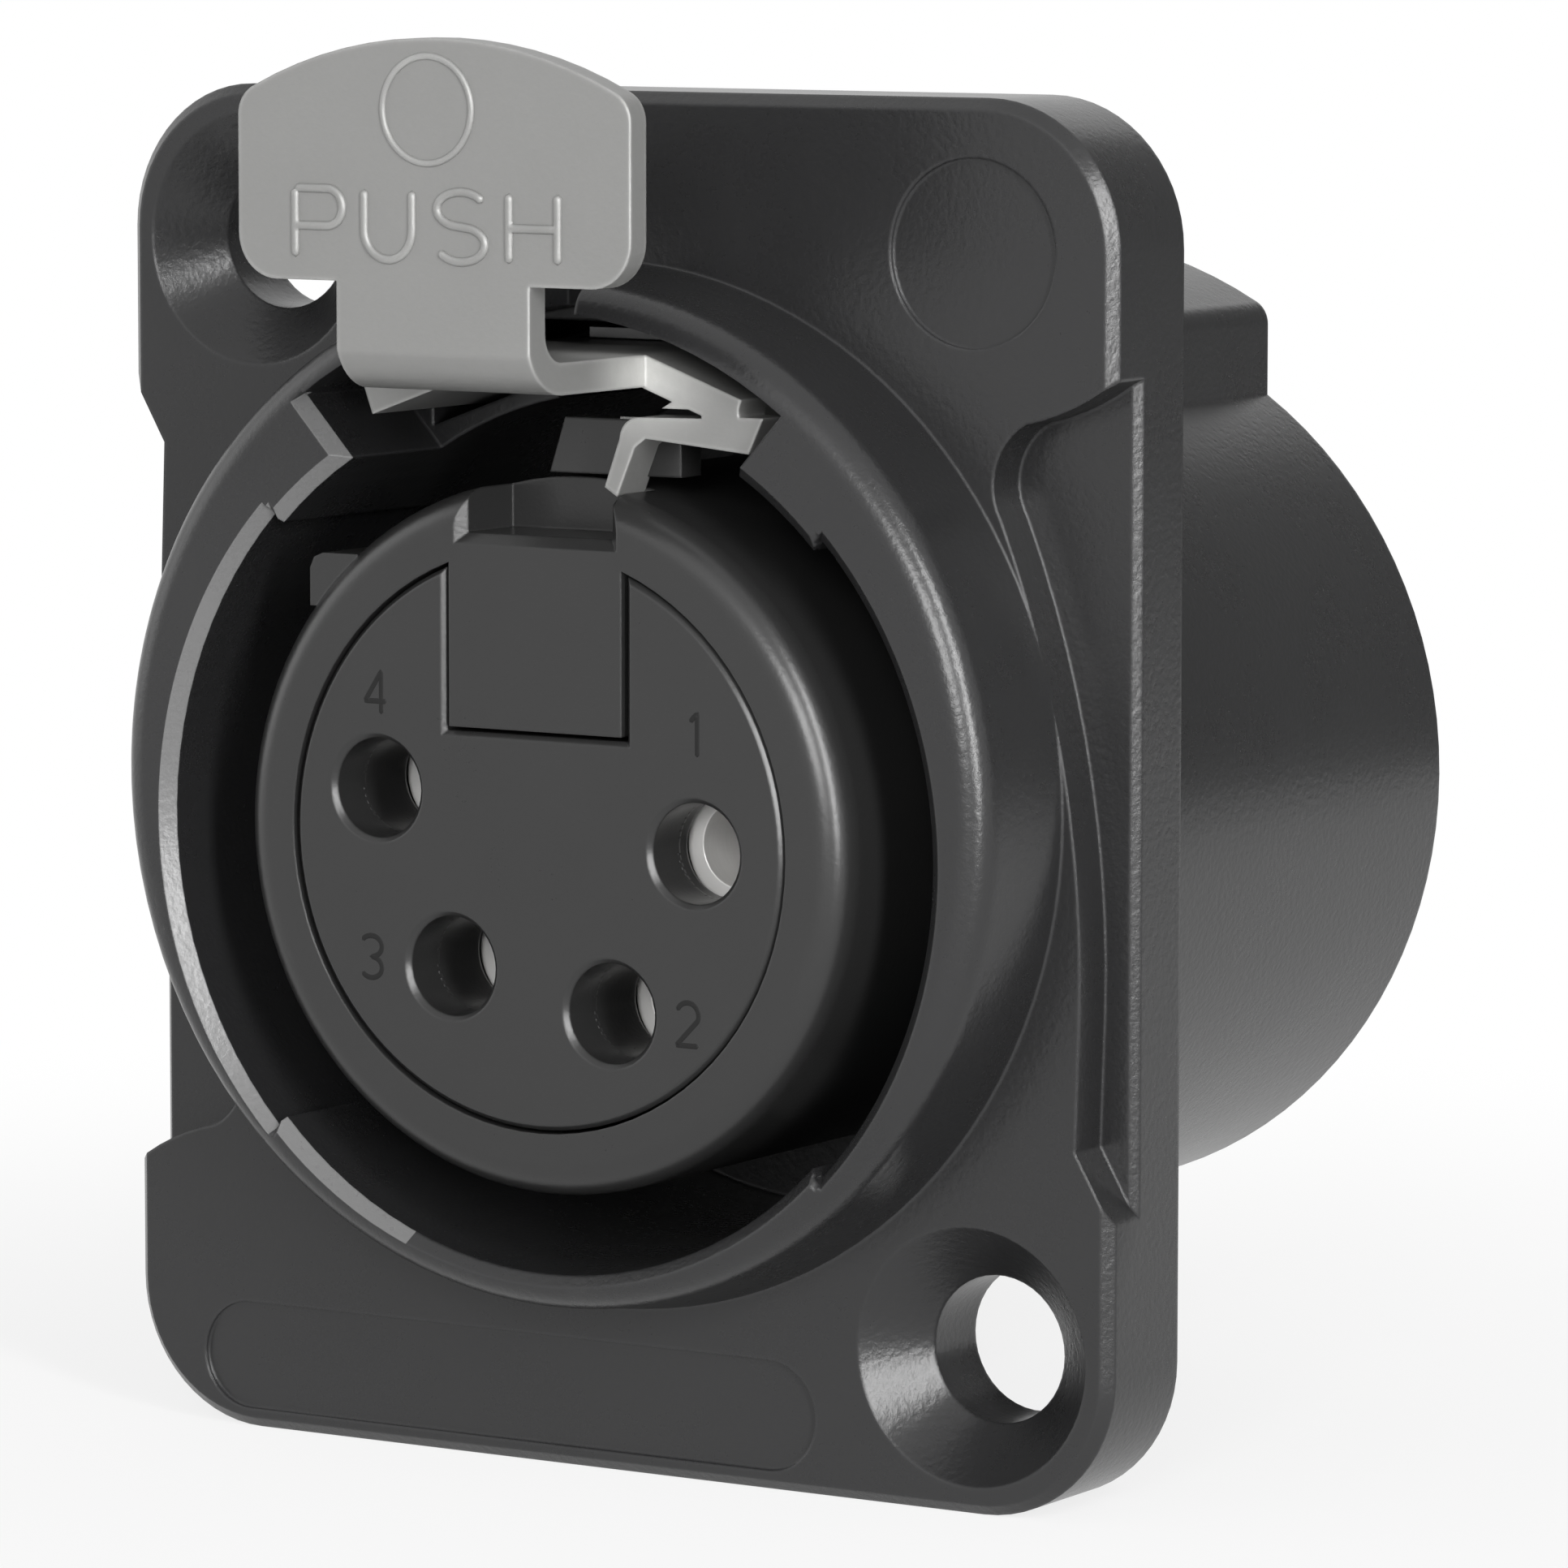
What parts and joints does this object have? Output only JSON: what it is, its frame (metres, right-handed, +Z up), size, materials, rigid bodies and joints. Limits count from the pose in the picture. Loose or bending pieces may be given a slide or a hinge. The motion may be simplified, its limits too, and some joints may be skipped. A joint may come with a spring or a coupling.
{
  "type": "panel socket connector",
  "caption": "Square-flanged panel socket with a round shrouded cavity, a moulded insert with sprung pin contacts, a latch lever with a push tab, and solder cups behind.",
  "frame": {"origin": "on the flange's centre axis, in the flange's rear face, which seats on the panel; it is the centre of the two screw holes", "axes": "+Y from the socket's front to its rear, +Z up the flange towards the push tab, +X to the right as seen from the front"},
  "size_m": [0.026, 0.0283, 0.0323],
  "materials": {
    "casting": "satin black coat on a die casting",
    "insert": "satin black moulding",
    "contact": "silver plated",
    "tinned_sheet": "tinned",
    "spring_sheet": "dull spring steel",
    "lever_sheet": "satin grey"
  },
  "bodies": {
    "housing": {"shell": "casting", "insert_sleeve": "insert", "contact_carrier": "insert", "contact_1": "contact", "contact_2": "contact", "contact_3": "contact", "contact_4": "contact", "ground_lug": "tinned_sheet", "ground_spring": "spring_sheet", "retaining_ring": "insert", "latch_pin_left": "spring_sheet", "latch_pin_right": "spring_sheet", "latch_spring": "spring_sheet"},
    "latch": {"latch_lever": "lever_sheet"}
  },
  "joints": [
    {"name": "latch_press", "type": "hinge", "parent": "housing", "child": "latch", "pos_m": [0, 0.001, 0.0087], "axis": [1, 0, 0], "range_deg": [-3.5, 0], "stiffness_Nm_per_rad": 0.3, "springref_deg": 1.72, "deforming": ["latch_spring"]}
  ]
}
